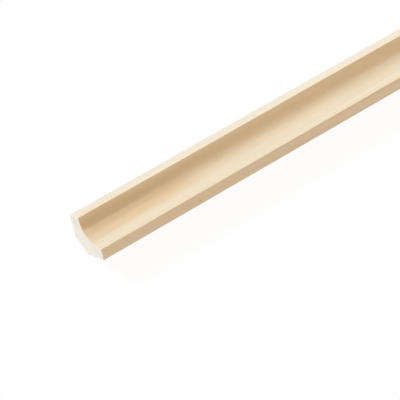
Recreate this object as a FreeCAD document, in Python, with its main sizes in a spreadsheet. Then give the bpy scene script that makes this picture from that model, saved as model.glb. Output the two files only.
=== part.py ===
"""Cornice moulding: a length of square-section pine cove, planed all round.

Two flat legs meet at a right angle, one for the wall and one for the ceiling.
The corner where they meet is bevelled off, so that the stick seats in a rough corner.
The show side is a hollow cove between two square lips. Both ends are sawn square.

Millimetres. The stick lies as it rests on a floor, on its back bevel with the
cove up. X runs along the stick, Y across it and Z up. The origin is on the
floor, under the middle of the stick.
"""

import FreeCAD, Part
import Sketcher
import os

NODE = "cornice_moulding"

SIZES = {
    "stock_length": 2400.0,     # sawn length of the stick
    "wall_leg": 20.0,           # from the back corner, unbevelled, to the stick's wall edge
    "ceiling_leg": 20.0,        # from the back corner, unbevelled, to its ceiling edge
    "wall_lip": 7.0,            # width of the square lip at the wall edge
    "ceiling_lip": 6.0,         # width of the square lip at the ceiling edge
    "cove_depth": 4.3,          # dip of the cove below a straightedge laid from lip to lip
    "back_bevel": 7.2,          # what the bevel takes off each leg
    "arris_radius": 0.3,        # easing of the four long arrises beside the lips
}

# What the sketch's constraints refer to: the lines of the section, in the order in
# which they are drawn, the two ends of each, and the sketch's own axes and origin.
WALL_BACK, WALL_LIP, COVE, CEILING_LIP, CEILING_BACK, BEVEL = range(6)
START, END = range(1, 3)
Y_AXIS, X_AXIS = range(-2, 0)
ORIGIN = (X_AXIS, START)

LYING_TURN = 45                 # degrees, from the wall leg lying flat to the bevel lying flat
SAME_POINT = 1e-6


def make_sizes(doc):
    """Puts each driving size in a cell of its own, under its name."""
    sheet = doc.addObject("Spreadsheet::Sheet", "Sizes")
    for row, (name, value) in enumerate(SIZES.items(), start=1):
        sheet.set("A%d" % row, name)
        sheet.set("B%d" % row, str(value))
        sheet.setAlias("B%d" % row, name)
    doc.recompute()
    return sheet


def origin_plane(body, role):
    """One of the body's own origin planes."""
    return next(plane for plane in body.Origin.OriginFeatures if plane.Role == role)


def cove_arc(wall_edge, ceiling_edge, depth):
    """The cove, one arc from the ceiling lip to the wall lip, dipping towards the back."""
    chord = wall_edge - ceiling_edge
    radius = chord.Length ** 2 / (8 * depth) + depth / 2
    outward = FreeCAD.Vector(-chord.y, chord.x, 0).normalize()
    centre = (wall_edge + ceiling_edge) * 0.5 + outward * (radius - depth)
    circle = Part.Circle(centre, FreeCAD.Vector(0, 0, 1), radius)
    return Part.ArcOfCircle(circle, circle.parameter(ceiling_edge), circle.parameter(wall_edge))


def draw_section(body, sheet):
    """The outline of the stick's end: sketch X along the wall leg, Y along the ceiling leg."""
    section = body.newObject("Sketcher::SketchObject", "Section")
    section.AttachmentSupport = (origin_plane(body, "YZ_Plane"), [""])
    section.MapMode = "FlatFace"

    wall_corner = FreeCAD.Vector(sheet.wall_leg, 0, 0)
    wall_edge = FreeCAD.Vector(sheet.wall_leg, sheet.wall_lip, 0)
    ceiling_corner = FreeCAD.Vector(0, sheet.ceiling_leg, 0)
    ceiling_edge = FreeCAD.Vector(sheet.ceiling_lip, sheet.ceiling_leg, 0)
    bevel_on_wall = FreeCAD.Vector(sheet.back_bevel, 0, 0)
    bevel_on_ceiling = FreeCAD.Vector(0, sheet.back_bevel, 0)
    outline = [
        Part.LineSegment(bevel_on_wall, wall_corner),
        Part.LineSegment(wall_corner, wall_edge),
        cove_arc(wall_edge, ceiling_edge, sheet.cove_depth),
        Part.LineSegment(ceiling_edge, ceiling_corner),
        Part.LineSegment(ceiling_corner, bevel_on_ceiling),
        Part.LineSegment(bevel_on_ceiling, bevel_on_wall),
    ]
    section.addGeometry(outline, False)
    close_outline(section)
    size_outline(section)
    return section


def close_outline(section):
    """Joins the lines end to end, squares legs and lips, and sets the legs on the axes."""
    for first, second in [(WALL_BACK, WALL_LIP), (CEILING_LIP, CEILING_BACK),
                          (CEILING_BACK, BEVEL), (BEVEL, WALL_BACK)]:
        section.addConstraint(Sketcher.Constraint("Coincident", first, END, second, START))
    section.addConstraint(Sketcher.Constraint("Coincident", WALL_LIP, END, COVE, END))
    section.addConstraint(Sketcher.Constraint("Coincident", COVE, START, CEILING_LIP, START))
    for line in (WALL_BACK, CEILING_LIP):
        section.addConstraint(Sketcher.Constraint("Horizontal", line))
    for line in (WALL_LIP, CEILING_BACK):
        section.addConstraint(Sketcher.Constraint("Vertical", line))
    section.addConstraint(Sketcher.Constraint("PointOnObject", WALL_BACK, START, X_AXIS))
    section.addConstraint(Sketcher.Constraint("PointOnObject", CEILING_BACK, END, Y_AXIS))


def size_outline(section):
    """Names each dimension of the outline and ties it to its cell."""
    chord_squared = ("((Sizes.wall_leg - Sizes.ceiling_lip) ^ 2"
                     " + (Sizes.ceiling_leg - Sizes.wall_lip) ^ 2)")
    radius_of_arc = chord_squared + " / (8 * Sizes.cove_depth) + Sizes.cove_depth / 2"
    dimensions = [
        ("wall_leg", "DistanceX", (*ORIGIN, WALL_BACK, END), "Sizes.wall_leg"),
        ("ceiling_leg", "DistanceY", (*ORIGIN, CEILING_LIP, END), "Sizes.ceiling_leg"),
        ("wall_lip", "DistanceY", (WALL_LIP, START, WALL_LIP, END), "Sizes.wall_lip"),
        ("ceiling_lip", "DistanceX", (CEILING_LIP, END, CEILING_LIP, START), "Sizes.ceiling_lip"),
        ("bevel_on_wall", "DistanceX", (*ORIGIN, WALL_BACK, START), "Sizes.back_bevel"),
        ("bevel_on_ceiling", "DistanceY", (*ORIGIN, CEILING_BACK, END), "Sizes.back_bevel"),
        ("cove_radius", "Radius", (COVE,), radius_of_arc),
    ]
    for name, kind, ends, rule in dimensions:
        value = float(section.evalExpression(rule))
        index = section.addConstraint(Sketcher.Constraint(kind, *ends, value))
        section.renameConstraint(index, name)
        section.setExpression("Constraints." + name, rule)


def saw_to_length(body, section):
    """The section run out to the length of the stick, half to each side."""
    stick = body.newObject("PartDesign::Pad", "Stick")
    stick.Profile = section
    stick.SideType = "Symmetric"
    stick.setExpression("Length", "Sizes.stock_length")
    return stick


def ease_arrises(body, section, stick):
    """Rounds the four long arrises, one at each end of each lip."""
    corners = [section.getPoint(lip, end) for lip in (WALL_LIP, CEILING_LIP) for end in (START, END)]
    middles = [FreeCAD.Vector(0, corner.x, corner.y) for corner in corners]
    names = []
    for number, edge in enumerate(stick.Shape.Edges, start=1):
        if any(edge.CenterOfMass.isEqual(middle, SAME_POINT) for middle in middles):
            names.append("Edge%d" % number)
    eased = body.newObject("PartDesign::Fillet", "EasedArrises")
    eased.Base = (stick, names)
    eased.setExpression("Radius", "Sizes.arris_radius")
    return eased


def lay_on_bevel(body):
    """Turns the stick cove up, centres it across and sets the back bevel on the floor."""
    turn = FreeCAD.Rotation(FreeCAD.Vector(1, 0, 0), LYING_TURN)
    body.Placement = FreeCAD.Placement(FreeCAD.Vector(), turn)
    slope = "cos(%d deg)" % LYING_TURN
    body.setExpression("Placement.Base.y", "(Sizes.ceiling_leg - Sizes.wall_leg) / 2 * " + slope)
    body.setExpression("Placement.Base.z", "-Sizes.back_bevel * " + slope)


def check(doc, body):
    """Stops if any object failed to build, the outline is loose, or the stick isn't one solid."""
    for item in doc.Objects:
        if "Invalid" in item.State or "Error" in item.State:
            raise RuntimeError("%s did not build: %s" % (item.Name, item.State))
    if not doc.getObject("Section").FullyConstrained:
        raise RuntimeError("the outline isn't held by its sizes")
    shape = body.Shape
    if shape.isNull() or not shape.isValid() or len(shape.Solids) != 1:
        raise RuntimeError("%s is not one sound solid" % body.Label)


def main():
    doc = FreeCAD.newDocument("CorniceMoulding")
    sheet = make_sizes(doc)
    body = doc.addObject("PartDesign::Body", "Moulding")
    body.Label = NODE
    section = draw_section(body, sheet)
    stick = saw_to_length(body, section)
    doc.recompute()
    body.Tip = ease_arrises(body, section, stick)
    lay_on_bevel(body)
    doc.recompute()
    check(doc, body)

    os.makedirs("parts", exist_ok=True)
    body.Shape.exportStep("parts/%s.step" % NODE)
    box = body.Shape.BoundBox
    print("%s: %.1f x %.2f x %.2f mm, %.1f cm3" % (
        NODE, box.XLength, box.YLength, box.ZLength, body.Shape.Volume / 1000))


main()
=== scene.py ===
"""Looks for the cornice moulding: a planed pine cove lying on a white studio floor.

Metres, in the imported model's frame, unless a name or comment says millimetres. X runs along
the stick from its near end, Y across it towards the wall side and Z up out of the cove.
"""

import math
import random

import bmesh
import bpy
from mathutils import Matrix, Quaternion, Vector

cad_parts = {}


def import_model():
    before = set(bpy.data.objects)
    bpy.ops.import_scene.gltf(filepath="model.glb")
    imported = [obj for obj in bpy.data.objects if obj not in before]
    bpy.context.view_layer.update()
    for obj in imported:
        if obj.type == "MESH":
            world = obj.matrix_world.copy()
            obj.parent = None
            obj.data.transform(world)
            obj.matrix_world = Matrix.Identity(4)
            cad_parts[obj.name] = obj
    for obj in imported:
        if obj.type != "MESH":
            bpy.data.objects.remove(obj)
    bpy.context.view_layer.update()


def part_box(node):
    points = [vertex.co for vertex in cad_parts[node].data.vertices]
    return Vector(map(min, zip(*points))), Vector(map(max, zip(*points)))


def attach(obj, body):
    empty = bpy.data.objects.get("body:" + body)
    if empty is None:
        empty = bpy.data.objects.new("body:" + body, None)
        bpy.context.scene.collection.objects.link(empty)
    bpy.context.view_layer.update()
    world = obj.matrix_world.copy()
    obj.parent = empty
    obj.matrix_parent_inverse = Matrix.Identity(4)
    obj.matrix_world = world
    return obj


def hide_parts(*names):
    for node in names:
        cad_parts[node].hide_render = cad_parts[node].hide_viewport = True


NODE = "cornice_moulding"
PIECE = "pine_cove"
SLOT = "planed_pine"
MM = 0.001

# The section, in millimetres along the wall leg (U) and the ceiling leg (V).
WALL_LEG = 20.0
CEILING_LEG = 20.0
WALL_LIP = 7.0
CEILING_LIP = 6.0
COVE_DEPTH = 4.3
BACK_BEVEL = 7.2
ARRIS = 0.3
ARRIS_STEPS = 7
COVE_STEPS = 72
SHARP_EDGE = math.radians(30)   # edges sharper than this aren't shaded smooth

# Along the stick.
BAYS = 60                       # lengthwise divisions
SAW_FUZZ = 0.13                 # millimetres that the saw and a rub of paper take off the end arris
SAW_FUZZ_SPREAD = 0.5           # how ragged that is, as a share
SEED = 11

# The camera, fitted to the photograph's edges.
EYE = Vector((-1.8597, -0.3448, 1.2446))
AIM = Vector((-1.13721, -0.01198, 0.009))
ROLL = math.radians(31.283)
LENS = 270.0                    # millimetres, as the sensor's width is
SENSOR_WIDTH = 36.0
SIGHT = 200.0                   # how far the camera sees, which is past the floor's corners

# Light: a soft key from the wall side and the near end, and an even fill.
TO_KEY = Vector((-0.6, 0.86, 0.512))
KEY_SPREAD = math.radians(10)
KEY_STRENGTH = 0.86
KEY_COLOUR = (0.57, 0.78, 1.0)
FILL_STRENGTH = 0.66
FILL_COLOUR = (1.0, 0.85, 0.74, 1.0)
WHITE = (1.0, 1.0, 1.0, 1.0)

# The floor.
FLOOR_HALF = 80.0               # half its width, so that it fills the view from any side
FLOOR_GAP = 0.00005             # keeps it just clear of the bevel that lies on it
FLOOR_COLOUR = (0.96, 0.96, 0.96, 1.0)
FLOOR_GLOW = 0.92               # share of the floor's white that the camera sees without shadow
FLOOR_WHITE = 1.015             # strength of that share, at which the open floor comes out white


# Shape.

def arc(centre, radius, start, stop, steps):
    """Points along an arc, from one angle to the other."""
    angles = [start + (stop - start) * i / steps for i in range(steps + 1)]
    return [centre + radius * Vector((math.cos(a), math.sin(a))) for a in angles]


def angle_of(vector):
    """The direction of a vector, as an angle from the wall leg."""
    return math.atan2(vector.y, vector.x)


def cove_circle():
    """Centre and radius of the cove, from the edges of its lips and its depth."""
    wall_edge = Vector((WALL_LEG, WALL_LIP))
    ceiling_edge = Vector((CEILING_LIP, CEILING_LEG))
    chord = wall_edge - ceiling_edge
    radius = chord.length ** 2 / (8 * COVE_DEPTH) + COVE_DEPTH / 2
    outward = Vector((-chord.y, chord.x)).normalized()
    return (wall_edge + ceiling_edge) / 2 + outward * (radius - COVE_DEPTH), radius


def section():
    """Points once round the section, anticlockwise, with its arrises and cove as fine arcs."""
    right = math.radians(90)
    centre, radius = cove_circle()
    reach = radius + ARRIS
    wall_eased = Vector((WALL_LEG - ARRIS, 0))
    wall_eased.y = centre.y - math.sqrt(reach ** 2 - (wall_eased.x - centre.x) ** 2)
    ceiling_eased = Vector((0, CEILING_LEG - ARRIS))
    ceiling_eased.x = centre.x - math.sqrt(reach ** 2 - (ceiling_eased.y - centre.y) ** 2)
    cove_start = angle_of(wall_eased - centre)
    cove_stop = angle_of(ceiling_eased - centre)
    if cove_stop > cove_start:
        cove_stop -= 2 * math.pi

    points = [Vector((BACK_BEVEL, 0))]
    points += arc(Vector((WALL_LEG - ARRIS, ARRIS)), ARRIS, -right, 0, ARRIS_STEPS)
    points += arc(wall_eased, ARRIS, 0, angle_of(centre - wall_eased), ARRIS_STEPS)
    points += arc(centre, radius, cove_start, cove_stop, COVE_STEPS)[1:-1]
    points += arc(ceiling_eased, ARRIS, angle_of(centre - ceiling_eased), right, ARRIS_STEPS)
    points += arc(Vector((ARRIS, CEILING_LEG - ARRIS)), ARRIS, right, 2 * right, ARRIS_STEPS)
    points += [Vector((0, BACK_BEVEL))]
    return points


def inset(points, shrink):
    """The outline drawn in, each point by its own amount along its own normal."""
    drawn = []
    for i, point in enumerate(points):
        run = (points[(i + 1) % len(points)] - points[i - 1]).normalized()
        drawn.append(point + Vector((-run.y, run.x)) * shrink[i])
    return drawn


def ring(mesh, x, points):
    """One loop of vertices round the stick, at a place along it."""
    turn = math.sqrt(0.5) * MM
    middle = (WALL_LEG - CEILING_LEG) / 2
    loop = []
    for u, v in points:
        loop.append(mesh.verts.new((x, (u - v - middle) * turn, (u + v - BACK_BEVEL) * turn)))
    return loop


def sawn_end(mesh, x, outline, inward, chance):
    """Two loops at a sawn end: its face, drawn in raggedly, and the side, set back by as much."""
    worn = [SAW_FUZZ * (1 + SAW_FUZZ_SPREAD * chance.uniform(-1, 1)) for _ in outline]
    face = ring(mesh, x, inset(outline, worn))
    side = ring(mesh, x, outline)
    for vertex, amount in zip(side, worn):
        vertex.co.x += inward * amount * MM
    return face, side


def build_stick(low, high):
    """The stick from end to end, with ragged sawn arrises at both ends."""
    chance = random.Random(SEED)
    outline = section()
    mesh = bmesh.new()
    near_face, near_side = sawn_end(mesh, low, outline, 1, chance)
    far_face, far_side = sawn_end(mesh, high, outline, -1, chance)
    length = high - low
    inner = [ring(mesh, low + length * i / BAYS, outline) for i in range(1, BAYS)]
    loops = [near_face, near_side, *inner, far_side, far_face]
    for one, two in zip(loops, loops[1:]):
        for i in range(len(outline)):
            mesh.faces.new((one[i - 1], one[i], two[i], two[i - 1]))
    mesh.faces.new(near_face)
    mesh.faces.new(reversed(far_face))
    bmesh.ops.recalc_face_normals(mesh, faces=mesh.faces)

    data = bpy.data.meshes.new(PIECE)
    mesh.to_mesh(data)
    mesh.free()
    data.shade_smooth()
    data.set_sharp_from_angle(angle=SHARP_EDGE)
    return place_in_scene(PIECE, data)


def place_in_scene(name, data):
    """A new object in the scene, from its mesh, lamp or camera data."""
    thing = bpy.data.objects.new(name, data)
    bpy.context.scene.collection.objects.link(thing)
    return thing


# Nodes.

def add(tree, kind, inputs=(), **settings):
    """A node with its settings made and its inputs set to values or joined to sockets."""
    made = tree.nodes.new("ShaderNode" + kind)
    for name, value in settings.items():
        setattr(made, name, value)
    for key, value in dict(inputs).items():
        if isinstance(value, bpy.types.NodeSocket):
            tree.links.new(value, made.inputs[key])
        else:
            made.inputs[key].default_value = value
    return made


def calc(tree, operation, *values):
    """The result of a Math node."""
    return add(tree, "Math", dict(enumerate(values)), operation=operation).outputs[0]


def stretched(tree, place, scale):
    """The place in the wood with each direction scaled by its own factor."""
    return add(tree, "VectorMath", {0: place, 1: scale}, operation="MULTIPLY").outputs[0]


def noise(tree, place, scale, detail, roughness=0.5):
    """Noise from 0 to 1, whose grains are 1/scale millimetres long in each direction."""
    inputs = {"Vector": stretched(tree, place, scale), "Scale": 1.0, "Detail": detail,
              "Roughness": roughness}
    return add(tree, "TexNoise", inputs).outputs[0]


def fade(tree, value, low, high):
    """0 below low and 1 above high, smooth between them."""
    inputs = {"Value": value, "From Min": low, "From Max": high, "To Min": 0.0, "To Max": 1.0}
    return add(tree, "MapRange", inputs, interpolation_type="SMOOTHSTEP").outputs[0]


def blend(tree, share, one, two, kind="MIX"):
    """Two colours mixed. A share above 1 goes on past the second colour."""
    mixed = add(tree, "Mix", {0: share, 6: one, 7: two}, data_type="RGBA", blend_type=kind,
                clamp_factor=False)
    return mixed.outputs[2]


def waves(tree, value, pitch):
    """A sine wave along a value, from one crest to the next in a pitch."""
    return calc(tree, "SINE", calc(tree, "MULTIPLY", value, 2 * math.pi / pitch))


def soft_spot(tree, in_mm, centre, reach):
    """1 at the centre, fading to 0 at the reach in each direction."""
    away = add(tree, "VectorMath", {0: in_mm, 1: centre}, operation="SUBTRACT").outputs[0]
    away = add(tree, "VectorMath", {0: away, 1: reach}, operation="DIVIDE").outputs[0]
    far = add(tree, "VectorMath", {0: away}, operation="LENGTH").outputs["Value"]
    return calc(tree, "SUBTRACT", 1.0, fade(tree, far, 0.0, 1.0))


# Pine, in millimetres. The tree's rings are wide cylinders whose axis leans a little against
# the stick.
TONGUE_TIP = Vector((-1138.0, -0.7, 9.34))  # where a ring just leaves the bottom of the cove
RING_RADIUS = 78.0
RING_SPACING = 3.3
RING_TILT = math.radians(0.5)               # of the rings, seen on the end
GRAIN_SLOPE = math.radians(0.72)            # of the tree's axis, along the stick

# Two bends of the rings: the noise's scale along and across the axis, and how far it moves a
# ring either way. Noise is even at whole numbers, so these scales leave the ring at the
# tongue's tip in place.
WIDE_BEND = ((0.0015, 2 / RING_RADIUS, 2 / RING_RADIUS), 1.2)
CLOSE_BEND = ((0.022, 24 / RING_RADIUS, 24 / RING_RADIUS), 0.15)

# Each year's growth: where in it latewood comes in slowly, comes in fast, and stops.
SUMMER = (0.38, 0.80)
AUTUMN = (0.80, 0.97)
WINTER = (0.92, 1.0)
SUMMER_GROWTH = 0.65                        # share of the latewood that comes in slowly
FAINTEST_YEAR = 0.4                         # its latewood, where the strongest year's is 1
YEAR_SEED = 20                              # picks how strong each year's latewood is

# Noise in the wood: scale along and across the axis, detail and roughness.
FIBRES = ((0.03, 2.4, 2.4), 4.0, 0.62)
FINE_FIBRES = ((0.12, 9.0, 9.0), 3.0, 0.6)
TONE_DRIFT = ((0.006, 0.11, 0.11), 2.0)
FIBRE_SHADE = 0.16                          # how much each changes the wood's brightness
FINE_SHADE = 0.08
DRIFT_SHADE = 0.10

EARLYWOOD = (0.88, 0.74, 0.52, 1.0)
LATEWOOD = (0.85, 0.645, 0.40, 1.0)
DARK_COVE_COLOUR = (0.80, 0.65, 0.41, 1.0)
END_WOOD = (0.855, 0.785, 0.67, 1.0)
END_LATEWOOD = (0.82, 0.72, 0.57, 1.0)
ENDLESS = 1.0e6                             # reach of a band that runs the whole stick

# Resin ducts: cells along and across the axis, the share of a cell in which a duct fades out,
# and its strength and colour.
DUCT_CELLS = (0.16, 1.5, 1.5)
DUCT_FADE = (0.06, 0.13)
DUCT_STRENGTH = 0.35
DUCT = (0.66, 0.37, 0.15, 1.0)

# Darker, yellower colour over the cove's wall side, where the wall lip's shadow falls, more of it by
# the near end: centre, reach and strength.
DARK_COVE_BANDS = [
    ((-1200.0, 5.6, 11.2), (ENDLESS, 6.5, 4.5), 0.55),
    ((-1200.0, 5.9, 11.2), (170.0, 5.0, 3.8), 1.1),
]

# Places where the colour departs from the rest: some are the wood's own tone, some painted shade and
# painted light. Centre, reach, strength and colour.
TONES_AND_PAINTED_LIGHT = [
    # Warmer wood along the bottom of the cove.
    ((-1200.0, 0.8, 9.5), (ENDLESS, 5.5, 3.0), 0.6, (0.875, 0.71, 0.455, 1.0)),
    # Warm streak beside the tongue, towards the ceiling side.
    ((-1162.0, -1.8, 9.5), (48.0, 4.2, 2.0), 0.95, (0.88, 0.66, 0.39, 1.0)),
    # Redder wood at the tongue's tip.
    ((-1150.0, 0.8, 9.4), (20.0, 3.0, 2.0), 0.7, (0.84, 0.62, 0.36, 1.0)),
    # Painted shade inside the wall lip's shadow by the near end, a painted lighter strip along the
    # shadow's edge, and a warmer strip beyond, which together sharpen that edge.
    ((-1178.0, 4.5, 10.5), (42.0, 1.6, 1.6), 0.8, (0.725, 0.59, 0.365, 1.0)),
    ((-1190.0, 2.5, 9.8), (28.0, 1.3, 1.3), 0.8, (0.92, 0.76, 0.50, 1.0)),
    ((-1180.0, 0.4, 9.4), (42.0, 2.0, 2.0), 0.8, (0.855, 0.66, 0.395, 1.0)),
    # Painted light on the edge of the wall lip's shadow, 0.2 m along, which moves that edge towards
    # the lip.
    ((-1005.0, 2.0, 9.7), (80.0, 1.7, 1.7), 0.8, (0.895, 0.775, 0.55, 1.0)),
    # The wall lip: yellower wood along its middle, and a pale painted highlight along its outer side.
    ((-1200.0, 11.3, 11.9), (ENDLESS, 3.0, 3.0), 0.8, (0.84, 0.68, 0.465, 1.0)),
    ((-1200.0, 13.2, 10.0), (ENDLESS, 4.2, 4.2), 0.9, (0.79, 0.69, 0.55, 1.0)),
    # Painted shade along the arris between the cove and the ceiling lip, which dims the key's
    # highlight there.
    ((-1200.0, -9.0, 12.5), (ENDLESS, 2.2, 2.2), 0.7, (0.81, 0.655, 0.43, 1.0)),
    # Yellowed arris of the wall lip, by the near end.
    ((-1187.0, 9.3, 13.8), (28.0, 2.6, 2.6), 0.6, (0.81, 0.61, 0.33, 1.0)),
    # Resin where the cove meets the near end, and a speck of it on the ceiling lip.
    ((-1199.0, 5.2, 10.8), (2.8, 3.2, 3.0), 1.0, (0.86, 0.55, 0.28, 1.0)),
    ((-1137.8, -12.9, 10.3), (2.8, 1.2, 1.2), 0.8, (0.84, 0.635, 0.27, 1.0)),
]

# The surface.
WOOD_IOR = 1.45
ROUGHNESS = 0.46
ROUGHNESS_SPREAD = 0.14                     # added where the fine fibres stand out
END_ROUGHNESS = 0.2                         # added on the sawn ends
END_FACING = (0.6, 0.9)                     # how squarely a side and an end look along the stick

# Relief along the stick: each height is a share of the depth.
RELIEF_DEPTH = 0.03
RELIEF_STRENGTH = 0.5
LATEWOOD_HEIGHT = 0.5
FIBRE_HEIGHT = 0.7
FINE_HEIGHT = 0.6
RIPPLE_HEIGHT = 0.10
RIPPLE_PITCH = 1.6                          # of the planer's marks

# Relief on the sawn ends.
END_FINE_HEIGHT = 2.2
SAW_HEIGHT = 0.5
SAW_PITCH = 0.9
SAW_LEAN = 0.35                             # sideways run of the saw lines, as a share of their rise
SAW_WANDER = ((0.5, 0.5, 0.5), 3.0)         # the noise that bends them: scale and detail
SAW_WANDER_REACH = 1.2


def wood_place(tree):
    """Two places, in millimetres: along and across the stick, and along and across the tree."""
    place = add(tree, "TexCoord").outputs["Object"]
    in_mm = add(tree, "VectorMath", {0: place, "Scale": 1 / MM}, operation="SCALE").outputs[0]
    outward = Vector((0, math.sin(RING_TILT), math.cos(RING_TILT)))
    inputs = {"Vector": in_mm, "Location": TONGUE_TIP - outward * RING_RADIUS,
              "Rotation": (-RING_TILT, GRAIN_SLOPE, 0)}
    in_tree = add(tree, "Mapping", inputs, vector_type="TEXTURE").outputs[0]
    return in_mm, in_tree


def bend(tree, place, scale, amount):
    """How far the rings bend here, up to an amount either way."""
    return calc(tree, "MULTIPLY_ADD", noise(tree, place, scale, 0.0), 2 * amount, -amount)


def ring_figure(tree, place):
    """0 in earlywood, rising through each year to that year's own strength of latewood."""
    parts = add(tree, "SeparateXYZ", {0: place}).outputs
    squares = calc(tree, "ADD", calc(tree, "MULTIPLY", parts[1], parts[1]),
                   calc(tree, "MULTIPLY", parts[2], parts[2]))
    radius = calc(tree, "SUBTRACT", calc(tree, "SQRT", squares), RING_RADIUS)
    bends = calc(tree, "ADD", bend(tree, place, *WIDE_BEND), bend(tree, place, *CLOSE_BEND))
    years = calc(tree, "DIVIDE", calc(tree, "ADD", radius, bends), RING_SPACING)
    season = calc(tree, "FRACT", years)
    slow = calc(tree, "MULTIPLY", fade(tree, season, *SUMMER), SUMMER_GROWTH)
    grown = calc(tree, "MULTIPLY_ADD", fade(tree, season, *AUTUMN), 1 - SUMMER_GROWTH, slow)
    closed = calc(tree, "SUBTRACT", 1.0, fade(tree, season, *WINTER))
    year = calc(tree, "ADD", calc(tree, "FLOOR", years), YEAR_SEED)
    chance = add(tree, "TexWhiteNoise", {"W": year}, noise_dimensions="1D").outputs["Value"]
    strength = calc(tree, "MULTIPLY_ADD", chance, 1 - FAINTEST_YEAR, FAINTEST_YEAR)
    return calc(tree, "MULTIPLY", calc(tree, "MULTIPLY", grown, closed), strength)


def end_mask(tree):
    """1 on the sawn ends and 0 along the stick."""
    normal = add(tree, "TexCoord").outputs["Normal"]
    along = calc(tree, "ABSOLUTE", add(tree, "SeparateXYZ", {0: normal}).outputs[0])
    return fade(tree, along, *END_FACING)


def side_colour(tree, in_mm, place, late):
    """The colour along the stick: rings, darker colour over the cove's wall side, tones of the wood
    with painted shade and painted light among them, and resin ducts.
    """
    dark_share = 0.0
    for centre, reach, amount in DARK_COVE_BANDS:
        dark_share = calc(tree, "MULTIPLY_ADD", soft_spot(tree, in_mm, centre, reach), amount, dark_share)
    colour = blend(tree, late, EARLYWOOD, LATEWOOD)
    colour = blend(tree, dark_share, colour, DARK_COVE_COLOUR)
    # Tones of the wood, with painted shade and painted light along the cove's shadow and the lips
    # among them.
    for centre, reach, amount, tint in TONES_AND_PAINTED_LIGHT:
        share = calc(tree, "MULTIPLY", soft_spot(tree, in_mm, centre, reach), amount)
        colour = blend(tree, share, colour, tint)
    cells = add(tree, "TexVoronoi", {"Vector": stretched(tree, place, DUCT_CELLS), "Scale": 1.0})
    ducts = calc(tree, "SUBTRACT", 1.0, fade(tree, cells.outputs["Distance"], *DUCT_FADE))
    return blend(tree, calc(tree, "MULTIPLY", ducts, DUCT_STRENGTH), colour, DUCT)


def mottle(tree, layers):
    """A shade near 1, which each layer of noise makes darker here and lighter there."""
    shade = 1.0
    for layer, spread in layers:
        own = calc(tree, "MULTIPLY_ADD", layer, spread, 1 - spread / 2)
        shade = calc(tree, "MULTIPLY", shade, own)
    return shade


def pine():
    """Planed pine along the stick, and pale sawn end grain on its ends."""
    material = bpy.data.materials.new(SLOT)
    material.use_nodes = True
    tree = material.node_tree
    in_mm, place = wood_place(tree)
    late = ring_figure(tree, place)
    ends = end_mask(tree)
    fibres = noise(tree, place, *FIBRES)
    fine = noise(tree, place, *FINE_FIBRES)
    drift = noise(tree, place, *TONE_DRIFT)

    end_colour = blend(tree, late, END_WOOD, END_LATEWOOD)
    colour = blend(tree, ends, side_colour(tree, in_mm, place, late), end_colour)
    shade = mottle(tree, ((fibres, FIBRE_SHADE), (fine, FINE_SHADE), (drift, DRIFT_SHADE)))
    colour = blend(tree, 1.0, colour, shade, "MULTIPLY")
    rough = calc(tree, "MULTIPLY_ADD", fine, ROUGHNESS_SPREAD, ROUGHNESS)
    rough = calc(tree, "MULTIPLY_ADD", ends, END_ROUGHNESS, rough)

    shader = tree.nodes["Principled BSDF"]
    tree.links.new(colour, shader.inputs["Base Color"])
    tree.links.new(rough, shader.inputs["Roughness"])
    tree.links.new(relief(tree, in_mm, fibres, fine, late, ends), shader.inputs["Normal"])
    shader.inputs["IOR"].default_value = WOOD_IOR
    return material


def relief(tree, in_mm, fibres, fine, late, ends):
    """Bump: raised latewood, fibres and faint planer ripples; on the ends, saw lines."""
    parts = add(tree, "SeparateXYZ", {0: in_mm}).outputs
    side = calc(tree, "MULTIPLY", fibres, FIBRE_HEIGHT)
    side = calc(tree, "MULTIPLY_ADD", fine, FINE_HEIGHT, side)
    side = calc(tree, "MULTIPLY_ADD", late, LATEWOOD_HEIGHT, side)
    side = calc(tree, "MULTIPLY_ADD", waves(tree, parts[0], RIPPLE_PITCH), RIPPLE_HEIGHT, side)
    across = calc(tree, "ADD", parts[1], calc(tree, "MULTIPLY", parts[2], SAW_LEAN))
    wander = noise(tree, in_mm, *SAW_WANDER)
    across = calc(tree, "MULTIPLY_ADD", wander, SAW_WANDER_REACH, across)
    end = calc(tree, "MULTIPLY", fine, END_FINE_HEIGHT)
    end = calc(tree, "MULTIPLY_ADD", waves(tree, across, SAW_PITCH), SAW_HEIGHT, end)
    height = calc(tree, "MULTIPLY_ADD", ends, calc(tree, "SUBTRACT", end, side), side)
    inputs = {"Height": height, "Strength": RELIEF_STRENGTH, "Distance": RELIEF_DEPTH * MM}
    return add(tree, "Bump", inputs).outputs[0]


# Studio.

def camera():
    """The camera that took the photograph."""
    lens = bpy.data.cameras.new("camera")
    lens.lens = LENS
    lens.sensor_width = SENSOR_WIDTH
    lens.clip_end = SIGHT
    seat = place_in_scene("camera", lens)
    look = (AIM - EYE).to_track_quat("-Z", "Y") @ Quaternion((0, 0, 1), ROLL)
    seat.matrix_world = Matrix.Translation(EYE) @ look.to_matrix().to_4x4()
    bpy.context.scene.camera = seat


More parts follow.
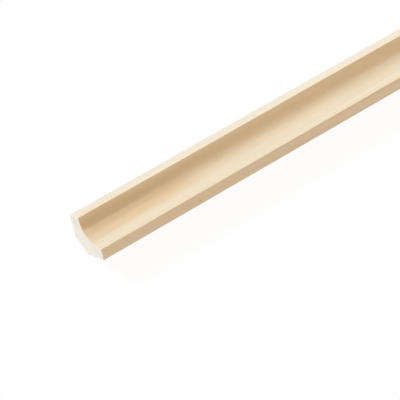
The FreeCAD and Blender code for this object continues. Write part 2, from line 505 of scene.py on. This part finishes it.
def key_light():
    """The soft key, a sun lamp that spreads over a small angle."""
    sun = bpy.data.lights.new("key", "SUN")
    sun.energy = KEY_STRENGTH * math.pi
    sun.color = KEY_COLOUR
    sun.angle = KEY_SPREAD
    lamp = place_in_scene("key", sun)
    lamp.rotation_euler = TO_KEY.to_track_quat("Z", "Y").to_euler()


def seen_white(tree):
    """1 for the rays that show the background as it is: to the camera, in gloss and through glass."""
    rays = add(tree, "LightPath").outputs
    seen = calc(tree, "MAXIMUM", rays["Is Camera Ray"], rays["Is Glossy Ray"])
    return calc(tree, "MAXIMUM", seen, rays["Is Transmission Ray"])


def world():
    """White to the eye, and an even fill light to the object."""
    sky = bpy.data.worlds.new("studio")
    sky.use_nodes = True
    tree = sky.node_tree
    tree.nodes.clear()
    fill = add(tree, "Background", {"Color": FILL_COLOUR, "Strength": FILL_STRENGTH})
    white = add(tree, "Background", {"Color": WHITE, "Strength": 1.0})
    both = add(tree, "MixShader", {0: seen_white(tree), 1: fill.outputs[0], 2: white.outputs[0]})
    add(tree, "OutputWorld", {0: both.outputs[0]})
    bpy.context.scene.world = sky


def floor_white():
    """White to the eye, with a share that takes the shadow."""
    material = bpy.data.materials.new("floor_white")
    material.use_nodes = True
    tree = material.node_tree
    tree.nodes.clear()
    matt = add(tree, "BsdfDiffuse", {"Color": FLOOR_COLOUR})
    glow = add(tree, "Emission", {"Color": WHITE, "Strength": FLOOR_WHITE})
    share = calc(tree, "MULTIPLY", seen_white(tree), FLOOR_GLOW)
    both = add(tree, "MixShader", {0: share, 1: matt.outputs[0], 2: glow.outputs[0]})
    add(tree, "OutputMaterial", {0: both.outputs[0]})
    return material


def floor():
    """A white floor that keeps a faint shadow."""
    reach = FLOOR_HALF
    square = [(-reach, -reach), (reach, -reach), (reach, reach), (-reach, reach)]
    data = bpy.data.meshes.new("floor")
    data.from_pydata([(x, y, -FLOOR_GAP) for x, y in square], [], [range(4)])
    data.materials.append(floor_white())
    plane = place_in_scene("floor", data)


def main():
    """The stick, its looks and the studio around it."""
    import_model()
    low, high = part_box(NODE)
    stick = build_stick(low.x, high.x)
    stick.data.materials.append(pine())
    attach(stick, "root")
    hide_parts(NODE)

    floor()
    world()
    key_light()
    camera()
    bpy.context.scene.view_settings.view_transform = "Standard"


main()
